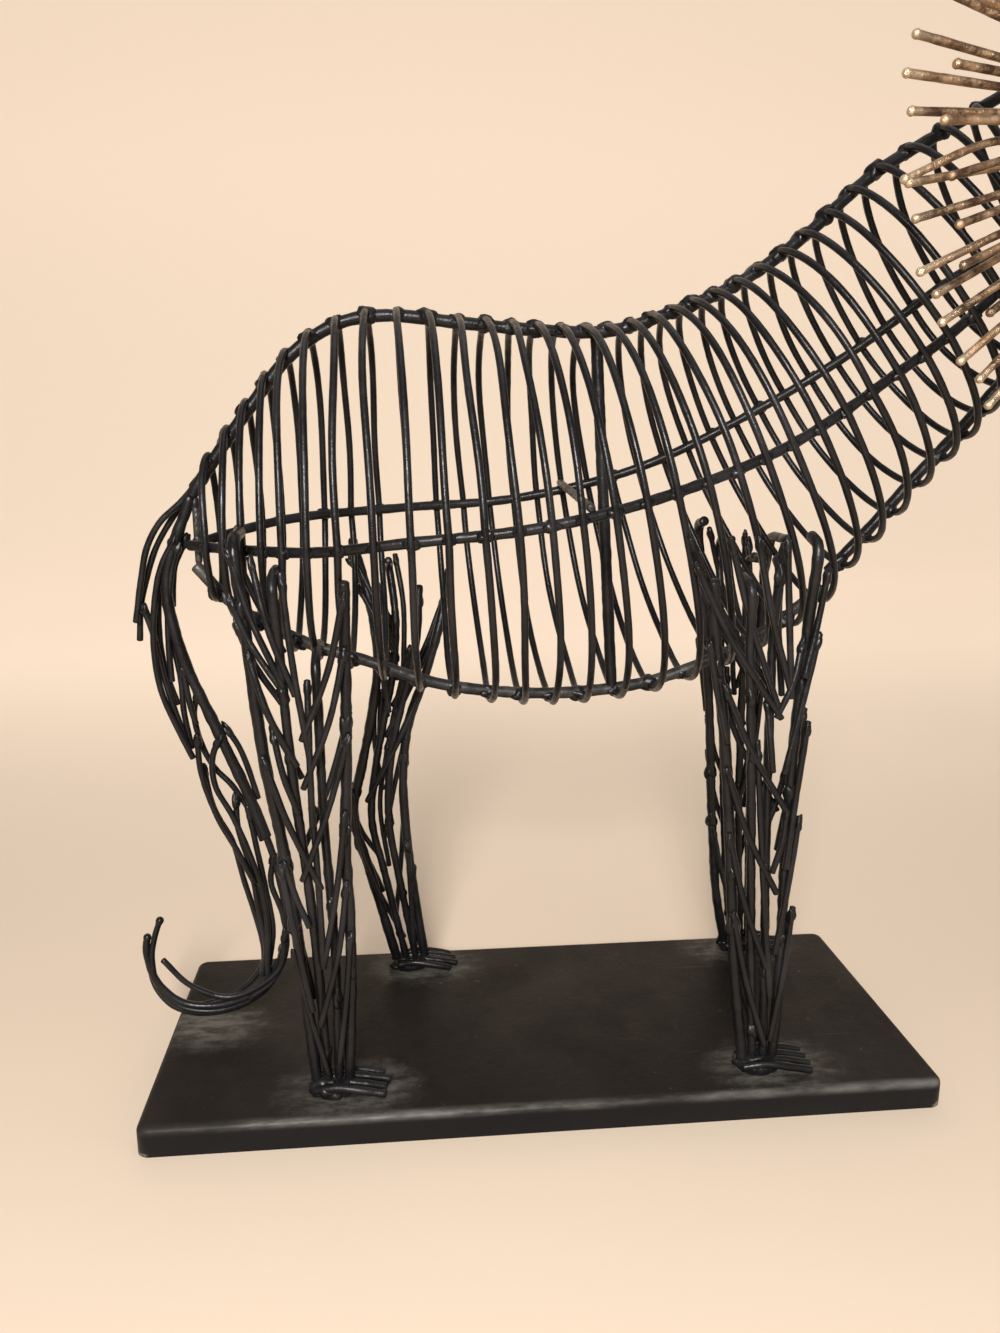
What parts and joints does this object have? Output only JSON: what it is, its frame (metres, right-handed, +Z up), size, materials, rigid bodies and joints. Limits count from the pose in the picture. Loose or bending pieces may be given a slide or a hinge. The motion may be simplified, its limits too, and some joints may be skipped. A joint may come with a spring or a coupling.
{
  "type": "wire sculpture",
  "caption": "Standing lion of welded steel wire with a sunburst mane and a hooked tail, on a low painted sheet-steel plinth.",
  "frame": {"origin": "centre of the bounding box at the level of the plinth's underside", "axes": "+X along the plinth towards the lion's chest, +Y to the lion's left flank, which is the far side in the picture, +Z up"},
  "size_m": [0.684, 0.1996, 0.6386],
  "materials": {
    "plinth_paint": "black-brown paint, scuffed, with chips at the bottom corners",
    "dark_steel": "satin charcoal paint over rough welds",
    "bare_steel": "dull bare steel with rough welds",
    "mane_bronze": "bronze colour with brown patina"
  },
  "bodies": {
    "root": {"plinth": "plinth_paint", "spine_rod": "dark_steel", "belly_rod": "bare_steel", "throat_rod": "dark_steel", "side_rail_near": "dark_steel", "side_rail_far": "dark_steel", "centre_post": "dark_steel", "cross_brace": "bare_steel", "rump_plate": "bare_steel", "rib_01": "dark_steel", "rib_02": "dark_steel", "rib_03": "dark_steel", "rib_04": "dark_steel", "rib_05": "dark_steel", "rib_06": "dark_steel", "rib_07": "dark_steel", "rib_08": "dark_steel", "rib_09": "dark_steel", "rib_10": "dark_steel", "rib_11": "dark_steel", "rib_12": "dark_steel", "rib_13": "dark_steel", "rib_14": "dark_steel", "rib_15": "dark_steel", "rib_16": "dark_steel", "rib_17": "dark_steel", "rib_18": "dark_steel", "rib_19": "dark_steel", "rib_20": "dark_steel", "rib_21": "dark_steel", "rib_22": "dark_steel", "rib_23": "dark_steel", "rib_24": "dark_steel", "rib_25": "dark_steel", "rib_26": "dark_steel", "rib_27": "dark_steel", "rib_28": "dark_steel", "rib_29": "dark_steel", "rib_30": "dark_steel", "rib_31": "dark_steel", "rib_32": "dark_steel", "rib_33": "dark_steel", "rib_34": "dark_steel", "rib_35": "dark_steel", "rib_36": "dark_steel", "leg_hind_near": "dark_steel", "leg_hind_far": "dark_steel", "leg_fore_near": "dark_steel", "leg_fore_far": "dark_steel", "tail": "dark_steel", "mane_rear": "mane_bronze", "mane_front": "mane_bronze", "face_wires": "dark_steel"}
  },
  "joints": []
}
